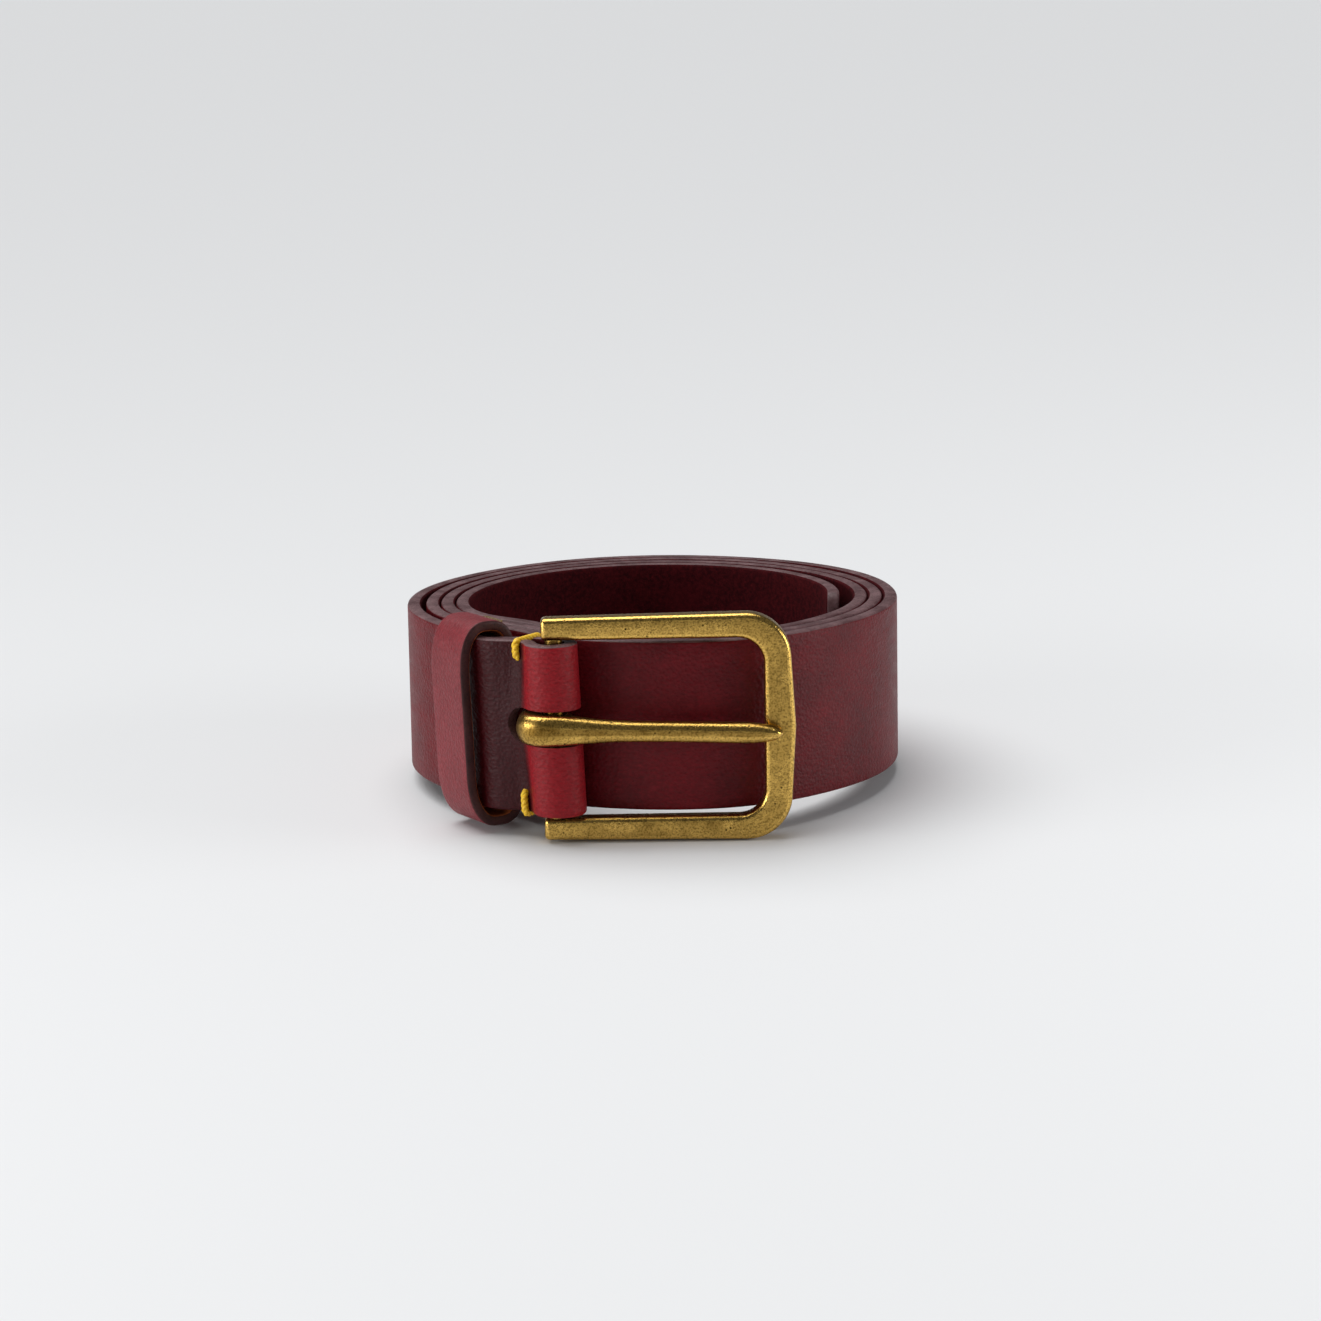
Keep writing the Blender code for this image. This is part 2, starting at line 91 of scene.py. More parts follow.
# Buckle
BAR_X = -23.0
BAR_Y = -57.0
BAR_RADIUS = 2.5
HEEL_BAR_RADIUS = 1.95
HEEL_BAR_LENGTH = 42.8
WRAP_RADIUS = BAR_RADIUS + 0.25 + STRAP_THICKNESS / 2
FRAME_MIDDLE = 19.2
FRAME_DEPTH = 5.0
FRAME_LEFT = -25.8
FRAME_RIGHT = 29.9
FRAME_OPENING = 39.8
FRAME_ARM_BAR_END = 4.9
FRAME_ARM_FAR_END = 5.5
FRAME_FAR_BAR = 6.9
FRAME_OUTER_CORNER = 10.0
FRAME_INNER_CORNER = 5.8
FRAME_BOW = 0.9
FRAME_EDGE = 1.1
PRONG_MIDDLE = 19.1
PRONG_HEIGHT = 4.5
PRONG_HEEL_SCALE = 1.5
PRONG_HEEL_REACH = 0.2
PRONG_SPREAD = 0.06
PRONG_TAPER_START = 0.82
PRONG_TAPER_LENGTH = 0.19
PRONG_DROP = 1.7
PRONG_ROUNDING = 1.85
PRONG_HEEL_ROUND = -28.8
PRONG_HEEL_LENGTH = 2.9
PRONG_EYE_RADIUS = 6.6
PRONG_EYE_X = -25.0
PRONG_EYE_Y = -58.8
PRONG_BORE = BAR_RADIUS + GAP
PRONG_TIP_X = 26.9
PRONG_CUTS = 60
SLOT_HEIGHT = 8.0
SLOT_MIDDLE = 19.95
SLOT_LENGTH = 10.2
SLOT_HEADING = 146.0
SLOT_BACK = -5.8
SLOT_FRONT = 9.0
SLOT_CLEAR = 0.5

# Keeper loop
KEEPER_X = -40.75
KEEPER_Y = -43.6
KEEPER_HEADING = -58.0
KEEPER_WIDTH = 13.5
KEEPER_DEPTH = 14.4
KEEPER_HEIGHT = 46.4
KEEPER_MIDDLE = 18.8
KEEPER_LEATHER = 2.4
KEEPER_FRONT_SHOULDER = 11.0
KEEPER_FRONT_SQUARENESS = 2.3
KEEPER_BACK_SHOULDER = 8.0
KEEPER_BACK_SQUARENESS = 3.0
KEEPER_EDGE = 0.55

# Waxed thread, laid up from strands that are pressed a little into each other
THREAD_RADIUS = 0.85
THREAD_STEP = 0.22
STRANDS = 3
STRAND_PRESS = 1.25
LAY_LENGTH = 3.4
TACK_FROM_BAR = 4.2
UPPER_TACK_INSET = 3.2
LOWER_TACK_INSET = 4.6
TACK_THROUGH = 7.6
TACK_CORNER = 1.2
TACK_PROUD = 0.4
SEAM_RADIUS = 0.5
SEAM_STITCH = 8.0
SEAM_ANGLE = 50.0
SEAM_CORNER = 0.6

# How the leather is pulled about at the buckle end: the lower edge sits further right,
# and it swells round the slot between the two tacks
SKEW = 1.4
FOLD_RISE = 0.5
SKEW_FADE = 12.0
KEEPER_END = 38.0
SLOT_SWELL = 1.8
SLOT_SWELL_FROM_BAR = 3.6
SLOT_SWELL_LENGTH = 4.2
SLOT_SWELL_HEIGHT = 10.5

# The front layer between the bar and the roll, and the tail folded back behind it
LEAD_IN = [
    (-28.4, -54.4), (-30.8, -52.7), (-33.6, -52.0), (-36.4, -51.0),
    (-38.9, -48.9), (-41.3, -44.8), (-43.7, -39.0), (-46.0, -33.2),
]
TAIL = [
    (-39.8, -40.8), (-38.3, -44.2), (-36.3, -47.1), (-33.1, -48.8),
    (-29.4, -49.6), (-26.0, -50.7),
]
WRAP_START = 60.0
WRAP_END = -180.0
WRAP_STEP = 6.0

# Brass is painted bright where an edge turns by this much or more, in degrees: partly rubbed wear,
# partly a painted highlight
WEAR_AND_HIGHLIGHT_ANGLE = 18.0

# How the belt stands: leant back on its rear half by the taller buckle, with the heel bar
# on the hinge that the frame gives
LEAN = math.atan2(FRAME_OPENING / 2 + FRAME_ARM_FAR_END - FRAME_MIDDLE,
                  ROLL_RADIUS - 0.5 * ROLL_PITCH - BAR_Y - FRAME_DEPTH / 2)
HINGE = Vector(next(j["pos_m"] for j in frame["joints"] if j["name"] == "frame_swing"))
LEANT = Matrix.Rotation(-LEAN, 4, "X") @ Matrix.Scale(MM, 4)
STAND = Matrix.Translation(HINGE - LEANT @ Vector((BAR_X, BAR_Y, FRAME_MIDDLE))) @ LEANT

# Camera, in the roll's own frame
CAMERA_AT = (0.36, -972.6, 214.6)
CAMERA_DOWN = 11.16
CAMERA_ROLL = -0.99
CAMERA_LENS = 116.06

FLOOR_REACH = 6.0


# ------------------------------------------------------------------ plan curves

def bell(angle, middle, spread):
    """Smooth bump of height 1 around an angle, in degrees."""
    offset = (angle - middle + 180.0) % 360.0 - 180.0
    return math.exp(-0.5 * (offset / spread) ** 2)


def roll_point(travel):
    """Point on the strap's middle line after a travel in degrees along the roll."""
    polar = ROLL_START_POLAR - travel
    radius = ROLL_RADIUS - ROLL_PITCH * travel / 360.0
    if travel < OUTER_HALF_TURN:
        radius += LEFT_SWELL * bell(polar, LEFT_SWELL_POLAR, LEFT_SWELL_SPREAD)
    else:
        radius += FRONT_SWELL * bell(polar, FRONT_SWELL_POLAR, FRONT_SWELL_SPREAD)
        radius -= KEEPER_DENT * bell(polar, KEEPER_DENT_POLAR, KEEPER_DENT_SPREAD)
    if travel > TIP_SPRING_START:
        free = (travel - TIP_SPRING_START) / (ROLL_END - TIP_SPRING_START)
        radius -= TIP_SPRING * free * free
    radius -= STRAP_THICKNESS / 2
    angle = math.radians(polar)
    return Vector((radius * math.cos(angle), radius * math.sin(angle)))


def smooth_through(points, steps):
    """Catmull-Rom curve through the points, without the first and last span."""
    result = []
    for before, start, end, after in zip(points, points[1:], points[2:], points[3:]):
        for i in range(steps):
            t = i / steps
            result.append(0.5 * (2 * start + (end - before) * t
                                 + (2 * before - 5 * start + 4 * end - after) * t ** 2
                                 + (3 * start - before - 3 * end + after) * t ** 3))
    result.append(points[-2])
    return result


def bar_point(angle):
    """Point on the middle line of the wrap round the bar, by polar angle."""
    turn = math.radians(angle)
    return Vector((BAR_X + WRAP_RADIUS * math.cos(turn),
                   BAR_Y + WRAP_RADIUS * math.sin(turn)))


def normal_at(points, index):
    """Unit normal pointing away from the roll's axis at a point of a path."""
    before = points[max(index - 1, 0)]
    after = points[min(index + 1, len(points) - 1)]
    along = (after - before).normalized()
    return Vector((-along.y, along.x))


def front_layer(steps):
    """Middle line of the front layer, from the bar's left side to the roll."""
    points = [bar_point(WRAP_END + 30.0), bar_point(WRAP_END)]
    points += [Vector(place) for place in LEAD_IN]
    points += [roll_point(ROLL_JOIN + 10.0 * i) for i in range(2)]
    return smooth_through(points, steps)


def tail_layer(steps):
    """Middle line of the folded-back tail, from its cut end to the bar's back."""
    points = [Vector(place) for place in TAIL]
    points = [2 * points[0] - points[1]] + points
    points += [bar_point(WRAP_START), bar_point(WRAP_START - 20.0)]
    return smooth_through(points, steps)


def strap_path():
    """Whole middle line, from the tail's end round the bar and along the roll."""
    steps = int((WRAP_START - WRAP_END) / WRAP_STEP)
    wrap = [bar_point(WRAP_START - WRAP_STEP * i) for i in range(1, steps)]
    turns = int((ROLL_END - ROLL_JOIN) / ROLL_STEP)
    roll = [roll_point(ROLL_JOIN + i * (ROLL_END - ROLL_JOIN) / turns)
            for i in range(1, turns + 1)]
    return tail_layer(4) + wrap + front_layer(6) + roll


def path_length(points):
    return sum((b - a).length for a, b in zip(points, points[1:]))


def along_path(points, distance):
    """Point and outward normal at a distance along a path."""
    for i in range(1, len(points)):
        span = (points[i] - points[i - 1]).length
        if distance <= span:
            return points[i - 1].lerp(points[i], distance / span), normal_at(points, i)
        distance -= span
    return points[-1], normal_at(points, len(points) - 1)


def arc(centre_x, centre_y, radius, start, end, steps):
    """Points on an arc, in degrees, both ends included."""
    points = []
    for i in range(steps + 1):
        angle = math.radians(start + (end - start) * i / steps)
        points.append(Vector((centre_x + radius * math.cos(angle),
                              centre_y + radius * math.sin(angle))))
    return points


# ------------------------------------------------------------------ mesh helpers

def new_object(name, shape, materials):
    mesh = bpy.data.meshes.new(name)
    shape.to_mesh(mesh)
    shape.free()
    for finish in materials:
        mesh.materials.append(finish)
    item = bpy.data.objects.new(name, mesh)
    bpy.context.scene.collection.objects.link(item)
    return item


def add_modifier(item, name, kind, **settings):
    modifier = item.modifiers.new(name, kind)
    for key, value in settings.items():
        setattr(modifier, key, value)


def cut_with(item, shape, cut_finish):
    """Take the shape out of the item. The walls of the cut get their own finish."""
    tool = new_object(item.name + "_cutter", shape, [cut_finish])
    add_modifier(item, tool.name, "BOOLEAN", operation="DIFFERENCE", object=tool,
                 solver="EXACT", material_mode="TRANSFER")
    return tool


def finished(item, place, body, slot, *replaced, sharp=38.0, tools=()):
    """Apply the modifiers, put the piece in its place on the floor and hand it over."""
    depsgraph = bpy.context.evaluated_depsgraph_get()
    mesh = bpy.data.meshes.new_from_object(item.evaluated_get(depsgraph))
    mesh.name = item.name
    item.modifiers.clear()
    item.data = mesh
    mesh.transform(place)
    mesh.shade_smooth()
    mesh.set_sharp_from_angle(angle=math.radians(sharp))
    for tool in tools:
        bpy.data.objects.remove(tool, do_unlink=True)
    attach(item, body)
    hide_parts(*replaced)
    return item


def mark_wear_and_highlight(item):
    """Give each vertex how proud its edges stand, so that the brass is painted bright there, partly
    as rubbed wear and partly as a painted highlight.
    """
    shape = bmesh.new()
    shape.from_mesh(item.data)
    wear_and_highlight = shape.verts.layers.float.new("wear_and_highlight")
    for vert in shape.verts:
        bends = [e.calc_face_angle_signed(0.0) for e in vert.link_edges]
        vert[wear_and_highlight] = min(max(max(bends, default=0.0), 0.0) / math.radians(WEAR_AND_HIGHLIGHT_ANGLE), 1.0)
    shape.to_mesh(item.data)
    shape.free()


def cylinder(radius, height, segments, matrix):
    shape = bmesh.new()
    bmesh.ops.create_cone(shape, cap_ends=True, segments=segments, radius1=radius,
                          radius2=radius, depth=height, matrix=matrix)
    return shape


def obround(radius, reach, back, front, matrix):
    """Long round-ended solid: its length along X, its depth along Y."""
    shape = bmesh.new()
    for along in (0.0, reach):
        for depth in (back, front):
            lie = Matrix.Translation((along, depth, 0)) @ Matrix.Rotation(math.pi / 2, 4, "X")
            bmesh.ops.create_circle(shape, segments=48, radius=radius, matrix=matrix @ lie)
    hull = bmesh.ops.convex_hull(shape, input=shape.verts)
    inside = [v for v in hull["geom_interior"] if isinstance(v, bmesh.types.BMVert)]
    bmesh.ops.delete(shape, geom=inside, context="VERTS")
    loose = [e for e in shape.edges if not e.link_faces]
    bmesh.ops.delete(shape, geom=loose, context="EDGES")
    bmesh.ops.recalc_face_normals(shape, faces=shape.faces)
    return shape


def ribbon(points, closed, width, bottom, rows):
    """Upright strip along a plan path. Its UV map is the distance along and across."""
    shape = bmesh.new()
    along = shape.verts.layers.float.new("along")
    row = []
    travelled = 0.0
    for i, place in enumerate(points):
        if i:
            travelled += (place - points[i - 1]).length
        vert = shape.verts.new((place.x, place.y, bottom))
        vert[along] = travelled
        row.append(vert)
    edges = [shape.edges.new(pair) for pair in zip(row, row[1:])]
    if closed:
        edges.append(shape.edges.new((row[-1], row[0])))
    for _ in range(rows):
        raised = bmesh.ops.extrude_edge_only(shape, edges=edges)["geom"]
        moved = [g for g in raised if isinstance(g, bmesh.types.BMVert)]
        edges = [g for g in raised if isinstance(g, bmesh.types.BMEdge)
                 and g.verts[0] in moved and g.verts[1] in moved]
        bmesh.ops.translate(shape, verts=moved, vec=(0, 0, width / rows))
    uv = shape.loops.layers.uv.new("UVMap")
    for face in shape.faces:
        far = max(loop.vert[along] for loop in face.loops)
        for loop in face.loops:
            distance = loop.vert[along]
            if closed and far - distance > travelled / 2:
                distance = travelled + (points[0] - points[-1]).length
            loop[uv].uv = (distance * MM, loop.vert.co.z * MM)
    return shape


def flat_plate(outline, depth):
    """Plate whose outline lies in the XZ plane, centred on Y = 0."""
    shape = bmesh.new()
    verts = [shape.verts.new((p.x, -depth / 2, p.y)) for p in outline]
    face = shape.faces.new(verts)
    pushed = bmesh.ops.extrude_face_region(shape, geom=[face])["geom"]
    moved = [v for v in pushed if isinstance(v, bmesh.types.BMVert)]
    bmesh.ops.translate(shape, verts=moved, vec=(0, depth, 0))
    bmesh.ops.recalc_face_normals(shape, faces=shape.faces)
    return shape


def rounded_ring(corners, radius, steps=6):
    """Closed path through the corners of a loop, each corner rounded off."""
    points = []
    count = len(corners)
    for i, corner in enumerate(corners):
        towards = (corners[i - 1] - corner).normalized() * radius
        onwards = (corners[(i + 1) % count] - corner).normalized() * radius
        for step in range(steps + 1):
            t = step / steps
            points.append(corner + towards * (1 - t) ** 2 + onwards * t ** 2)
    return points


def resampled(points, spacing):
    """The same path with evenly spaced points."""
    count = max(int(path_length(points) / spacing), 2)
    step = path_length(points) / count
    result, left = [points[0]], step
    for start, end in zip(points, points[1:]):
        span = (end - start).length
        done = 0.0
        while span - done >= left and len(result) < count:
            done += left
            result.append(start.lerp(end, done / span))
            left = step
        left -= span - done
    return result + [points[-1]]


def twisted_thread(name, points, closed, radius, finish):
    """Thread laid up from round strands that wind about the path."""
    curve = bpy.data.curves.new(name, "CURVE")
    curve.dimensions = "3D"
    strand = radius / (1.0 + 1.0 / math.sin(math.pi / STRANDS)) * STRAND_PRESS
    curve.bevel_depth = strand
    curve.bevel_resolution = 3
    curve.use_fill_caps = True
    path = resampled(points + points[:1] if closed else points, THREAD_STEP)
    turns = max(round(path_length(path) / LAY_LENGTH), 1)
    for number in range(STRANDS):
        spline = curve.splines.new("POLY")
        spline.points.add(len(path) - 1)
        side = (path[1] - path[0]).orthogonal().normalized()
        for i, place in enumerate(path):
            along = (path[min(i + 1, len(path) - 1)] - path[max(i - 1, 0)]).normalized()
            side = (side - along * side.dot(along)).normalized()
            angle = 2 * math.pi * (turns * i / (len(path) - 1) + number / STRANDS)
            out = side * math.cos(angle) + along.cross(side) * math.sin(angle)
            spline.points[i].co = (*(place + out * (radius - strand)), 1.0)
    curve.materials.append(finish)
    item = bpy.data.objects.new(name, curve)
    bpy.context.scene.collection.objects.link(item)
    depsgraph = bpy.context.evaluated_depsgraph_get()
    mesh = bpy.data.meshes.new_from_object(item.evaluated_get(depsgraph))
    bpy.data.objects.remove(item, do_unlink=True)
    bpy.data.curves.remove(curve)
    item = bpy.data.objects.new(name, mesh)
    bpy.context.scene.collection.objects.link(item)
    return item


# --------------------------------------------------------------------- materials

def linear(code):
    """Linear colour of an sRGB hex value."""
    parts = [int(code[i:i + 2], 16) / 255 for i in (1, 3, 5)]
    return (*[c / 12.92 if c <= 0.04045 else ((c + 0.055) / 1.055) ** 2.4 for c in parts], 1.0)


def new_material(name, **sockets):
    """A Principled material with its plain values set, and its node tree and shader."""
    finish = bpy.data.materials.new(name)
    finish.use_nodes = True
    shader = finish.node_tree.nodes["Principled BSDF"]
    for key, value in sockets.items():
        shader.inputs[key.replace("_", " ")].default_value = value
    return finish, finish.node_tree, shader


def add(tree, kind, inputs=(), **settings):
    """Add a node. Inputs are values or other nodes' outputs."""
    made = tree.nodes.new("ShaderNode" + kind)
    for key, value in settings.items():
        setattr(made, key, value)
    for key, value in dict(inputs).items():
        if isinstance(value, bpy.types.NodeSocket):
            tree.links.new(value, made.inputs[key])
        else:
            made.inputs[key].default_value = value
    return made


def per_mm(size):
    """Texture scale that gives features of a size in millimetres."""
    return 1.0 / (size * MM)


def grain_leather(name, sheen, dark, middle, light, fold_light_and_crease_shade=None):
    """Vegetable-tanned bridle leather, drum-dyed and waxed on the grain side: an even
    satin with fine pores and drawn-out creases, clouded darker and lighter by the wax.
    The strap's fold over the bar is painted brighter, partly as stretched leather and partly as
    painted light on the fold's face, and the crease beside it is painted darker as painted shade."""
    finish, tree, shader = new_material(name, IOR=1.5, Specular_IOR_Level=sheen)
    place = add(tree, "UVMap", uv_map="UVMap").outputs["UV"]
    spread = add(tree, "Mapping", {"Vector": place, "Scale": (0.6, 1.0, 1.0)}).outputs[0]
    clouds = add(tree, "TexNoise", {"Vector": place, "Scale": per_mm(16), "Detail": 4.0,
                                    "Roughness": 0.6}).outputs[0]
    creases = add(tree, "TexNoise", {"Vector": spread, "Scale": per_mm(0.55), "Detail": 4.0,
                                     "Roughness": 0.65, "Distortion": 0.3}).outputs[0]
    pores = add(tree, "TexVoronoi", {"Vector": place, "Scale": per_mm(0.75),
                                     "Randomness": 1.0}).outputs["Distance"]
    scuffs = add(tree, "TexNoise", {"Vector": spread, "Scale": per_mm(3.5), "Detail": 8.0,
                                    "Roughness": 0.75}).outputs[0]
    cloudy = add(tree, "MapRange", {"Value": clouds, "From Min": 0.35, "From Max": 0.7}).outputs[0]
    worn = add(tree, "MapRange", {"Value": scuffs, "From Min": 0.52, "From Max": 0.75,
                                  "To Max": 0.55}).outputs[0]
    base = add(tree, "MixRGB", {"Fac": cloudy, "Color1": linear(dark),
                                "Color2": linear(middle)}).outputs[0]
    base = add(tree, "MixRGB", {"Fac": worn, "Color1": base, "Color2": linear(light)}).outputs[0]
    # Painted light and shade along the fold: a brighter band over the bar, partly stretched leather
    # and partly painted light, and a darker band in the crease beside it, which is painted shade.
    if fold_light_and_crease_shade:
        tail = path_length(tail_layer(4)) * MM
        wrap = math.radians(WRAP_START - WRAP_END) * WRAP_RADIUS * MM
        travelled = add(tree, "SeparateXYZ", {"Vector": place}).outputs["X"]
        reach = add(tree, "Math", {0: travelled, 1: tail + wrap * 0.5},
                    operation="SUBTRACT").outputs[0]
        reach = add(tree, "Math", {0: reach}, operation="ABSOLUTE").outputs[0]
        for near, far, colour in ((1.0, 2.0, fold_light_and_crease_shade[1]), (0.42, 0.62, fold_light_and_crease_shade[0])):
            stretch_light_and_crease_shade_mask = add(tree, "MapRange", {"Value": reach, "From Min": wrap * near,
                                          "From Max": wrap * far, "To Min": 1.0, "To Max": 0.0},
                       interpolation_type="SMOOTHSTEP").outputs[0]
            base = add(tree, "MixRGB", {"Fac": stretch_light_and_crease_shade_mask, "Color1": base,
                                        "Color2": linear(colour)}).outputs[0]
    fine = add(tree, "MapRange", {"Value": creases, "From Min": 0.3, "From Max": 0.7,
                                  "To Min": 0.68, "To Max": 1.25}).outputs[0]
    base = add(tree, "MixRGB", {"Fac": 1.0, "Color1": base, "Color2": fine},
               blend_type="MULTIPLY").outputs[0]
    tree.links.new(base, shader.inputs["Base Color"])
    gloss = add(tree, "MapRange", {"Value": scuffs, "From Min": 0.3, "From Max": 0.75,
                                   "To Min": 0.38, "To Max": 0.56}).outputs[0]
    tree.links.new(gloss, shader.inputs["Roughness"])
    rise = add(tree, "Math", {0: creases, 1: pores}, operation="ADD").outputs[0]
    bump = add(tree, "Bump", {"Height": rise, "Strength": 0.9, "Distance": 0.15 * MM})
    tree.links.new(bump.outputs[0], shader.inputs["Normal"])
    return finish


def flesh_leather():
    """The strap's flesh side, slicked down and dyed through: dull, close-napped and
    almost black-red, with paler fibres where the nap stands up."""
    finish, tree, shader = new_material("dyed_flesh_side_slicked", IOR=1.45, Roughness=0.85,
                                        Specular_IOR_Level=0.1)
    place = add(tree, "TexCoord").outputs["Object"]
    nap = add(tree, "TexNoise", {"Vector": place, "Scale": per_mm(0.9), "Detail": 6.0,
                                 "Roughness": 0.7}).outputs[0]
    patches = add(tree, "TexNoise", {"Vector": place, "Scale": per_mm(9), "Detail": 5.0,
                                     "Roughness": 0.65}).outputs[0]
    raised = add(tree, "MapRange", {"Value": nap, "From Min": 0.4, "From Max": 0.75}).outputs[0]
    patchy = add(tree, "MapRange", {"Value": patches, "From Min": 0.45, "From Max": 0.7,
                                    "To Max": 0.7}).outputs[0]
    base = add(tree, "MixRGB", {"Fac": patchy, "Color1": linear("#2c0308"),
                                "Color2": linear("#4a0a10")}).outputs[0]
    base = add(tree, "MixRGB", {"Fac": raised, "Color1": base,
                                "Color2": linear("#521015")}).outputs[0]
    tree.links.new(base, shader.inputs["Base Color"])
    bump = add(tree, "Bump", {"Height": nap, "Strength": 0.5, "Distance": 0.2 * MM})
    tree.links.new(bump.outputs[0], shader.inputs["Normal"])
    return finish


def keeper_flesh():
    """The keeper strip's flesh side, left undyed: orange-brown tan, soft and dull."""
    finish, tree, shader = new_material("undyed_flesh_side", IOR=1.45, Roughness=0.85,
                                        Specular_IOR_Level=0.1)
    place = add(tree, "TexCoord").outputs["Object"]
    nap = add(tree, "TexNoise", {"Vector": place, "Scale": per_mm(0.8), "Detail": 5.0,
                                 "Roughness": 0.7}).outputs[0]
    base = add(tree, "MixRGB", {"Fac": nap, "Color1": linear("#7a2f14"),
                                "Color2": linear("#c4713f")}).outputs[0]
    tree.links.new(base, shader.inputs["Base Color"])
    bump = add(tree, "Bump", {"Height": nap, "Strength": 0.5, "Distance": 0.2 * MM})
    tree.links.new(bump.outputs[0], shader.inputs["Normal"])
    return finish


def burnished_edge(name, dark, middle, light):
    """Cut leather edge, stained and rubbed with wax until it rounds and shines: greyed
    by the wax, with the fibre layers showing as pale and dark flecks."""
    finish, tree, shader = new_material(name, IOR=1.5, Specular_IOR_Level=0.3,
                                        Coat_Weight=0.06, Coat_Roughness=0.25)
    place = add(tree, "TexCoord").outputs["Object"]
    fibre = add(tree, "TexNoise", {"Vector": place, "Scale": per_mm(0.7), "Detail": 6.0,
                                   "Roughness": 0.7, "Distortion": 0.4}).outputs[0]
    wax = add(tree, "TexNoise", {"Vector": place, "Scale": per_mm(5), "Detail": 4.0,
                                 "Roughness": 0.6}).outputs[0]
    pale = add(tree, "MapRange", {"Value": wax, "From Min": 0.38, "From Max": 0.66}).outputs[0]
    flecks = add(tree, "MapRange", {"Value": fibre, "From Min": 0.5, "From Max": 0.3,
                                    "To Max": 0.8}).outputs[0]
    base = add(tree, "MixRGB", {"Fac": pale, "Color1": linear(middle),
                                "Color2": linear(light)}).outputs[0]
    base = add(tree, "MixRGB", {"Fac": flecks, "Color1": base, "Color2": linear(dark)}).outputs[0]
    tree.links.new(base, shader.inputs["Base Color"])
    gloss = add(tree, "MapRange", {"Value": fibre, "From Min": 0.3, "From Max": 0.7,
                                   "To Min": 0.6, "To Max": 0.4}).outputs[0]
    tree.links.new(gloss, shader.inputs["Roughness"])
    bump = add(tree, "Bump", {"Height": fibre, "Strength": 0.45, "Distance": 0.25 * MM})
    tree.links.new(bump.outputs[0], shader.inputs["Normal"])
    return finish


def antique_brass():
    """Sand-cast brass, tumbled, blackened and relieved: brown-olive patina left on the flats and in
    the casting pits, and bright metal on the proud edges, partly rubbed wear and partly a painted
    highlight."""
    finish, tree, shader = new_material("antique_brass_cast_relieved", Metallic=1.0)
    place = add(tree, "TexCoord").outputs["Object"]
    wear_and_highlight = add(tree, "Attribute", attribute_name="wear_and_highlight").outputs["Fac"]
    blotch = add(tree, "TexNoise", {"Vector": place, "Scale": per_mm(4.5), "Detail": 6.0,
                                    "Roughness": 0.7}).outputs[0]
    grit = add(tree, "TexNoise", {"Vector": place, "Scale": per_mm(0.42), "Detail": 3.0,
                                  "Roughness": 0.6}).outputs[0]
    pit = add(tree, "TexVoronoi", {"Vector": place, "Scale": per_mm(1.6),
                                   "Randomness": 1.0}).outputs["Distance"]
    pitted = add(tree, "MapRange", {"Value": pit, "From Min": 0.2, "From Max": 0.06}).outputs[0]
    sparse = add(tree, "MapRange", {"Value": blotch, "From Min": 0.46,
                                    "From Max": 0.58}).outputs[0]
    pitted = add(tree, "Math", {0: pitted, 1: sparse}, operation="MULTIPLY").outputs[0]
    # Proud edges painted bright: partly rubbed wear, partly painted highlight.
    rubbed_and_highlight = add(tree, "Math", {0: wear_and_highlight, 1: blotch}, operation="ADD").outputs[0]
    rubbed_and_highlight = add(tree, "MapRange", {"Value": rubbed_and_highlight, "From Min": 0.5, "From Max": 1.25}).outputs[0]
    base = add(tree, "MixRGB", {"Fac": rubbed_and_highlight, "Color1": linear("#5f400a"),
                                "Color2": linear("#e4ba62")}).outputs[0]
    speckled = add(tree, "MapRange", {"Value": grit, "From Min": 0.54, "From Max": 0.38,
                                      "To Max": 0.55}).outputs[0]
    base = add(tree, "MixRGB", {"Fac": speckled, "Color1": base,
                                "Color2": linear("#392807")}).outputs[0]
    base = add(tree, "MixRGB", {"Fac": pitted, "Color1": base,
                                "Color2": linear("#1c1002")}).outputs[0]
    tree.links.new(base, shader.inputs["Base Color"])
    gloss = add(tree, "MapRange", {"Value": rubbed_and_highlight, "To Min": 0.46, "To Max": 0.2}).outputs[0]
    tree.links.new(gloss, shader.inputs["Roughness"])
    height = add(tree, "Math", {0: grit, 1: pitted}, operation="SUBTRACT").outputs[0]
    height = add(tree, "Math", {0: height, 1: blotch}, operation="ADD").outputs[0]
    bump = add(tree, "Bump", {"Height": height, "Strength": 0.3, "Distance": 0.2 * MM})
    tree.links.new(bump.outputs[0], shader.inputs["Normal"])
    return finish


def waxed_thread(name, dark, light):
    """Linen thread, dyed and waxed: strands with a soft shine, mottled darker where the wax has
    picked up dye from the leather."""
    finish, tree, shader = new_material(name, IOR=1.45, Roughness=0.42)
    place = add(tree, "TexCoord").outputs["Object"]
    fibre = add(tree, "TexNoise", {"Vector": place, "Scale": per_mm(0.3), "Detail": 3.0}).outputs[0]
    grime = add(tree, "MapRange", {"Value": fibre, "From Min": 0.35, "From Max": 0.7}).outputs[0]
    base = add(tree, "MixRGB", {"Fac": grime, "Color1": linear(dark),
                                "Color2": linear(light)}).outputs[0]
    tree.links.new(base, shader.inputs["Base Color"])
    bump = add(tree, "Bump", {"Height": fibre, "Strength": 0.4, "Distance": 0.08 * MM})
    tree.links.new(bump.outputs[0], shader.inputs["Normal"])
    return finish


def studio_paper():
    """Seamless paper: matt, even and slightly cool."""
    return new_material("matt_studio_paper", Roughness=0.9, Base_Color=linear("#e4e5e6"))[0]


# -------------------------------------------------------------------- the pieces

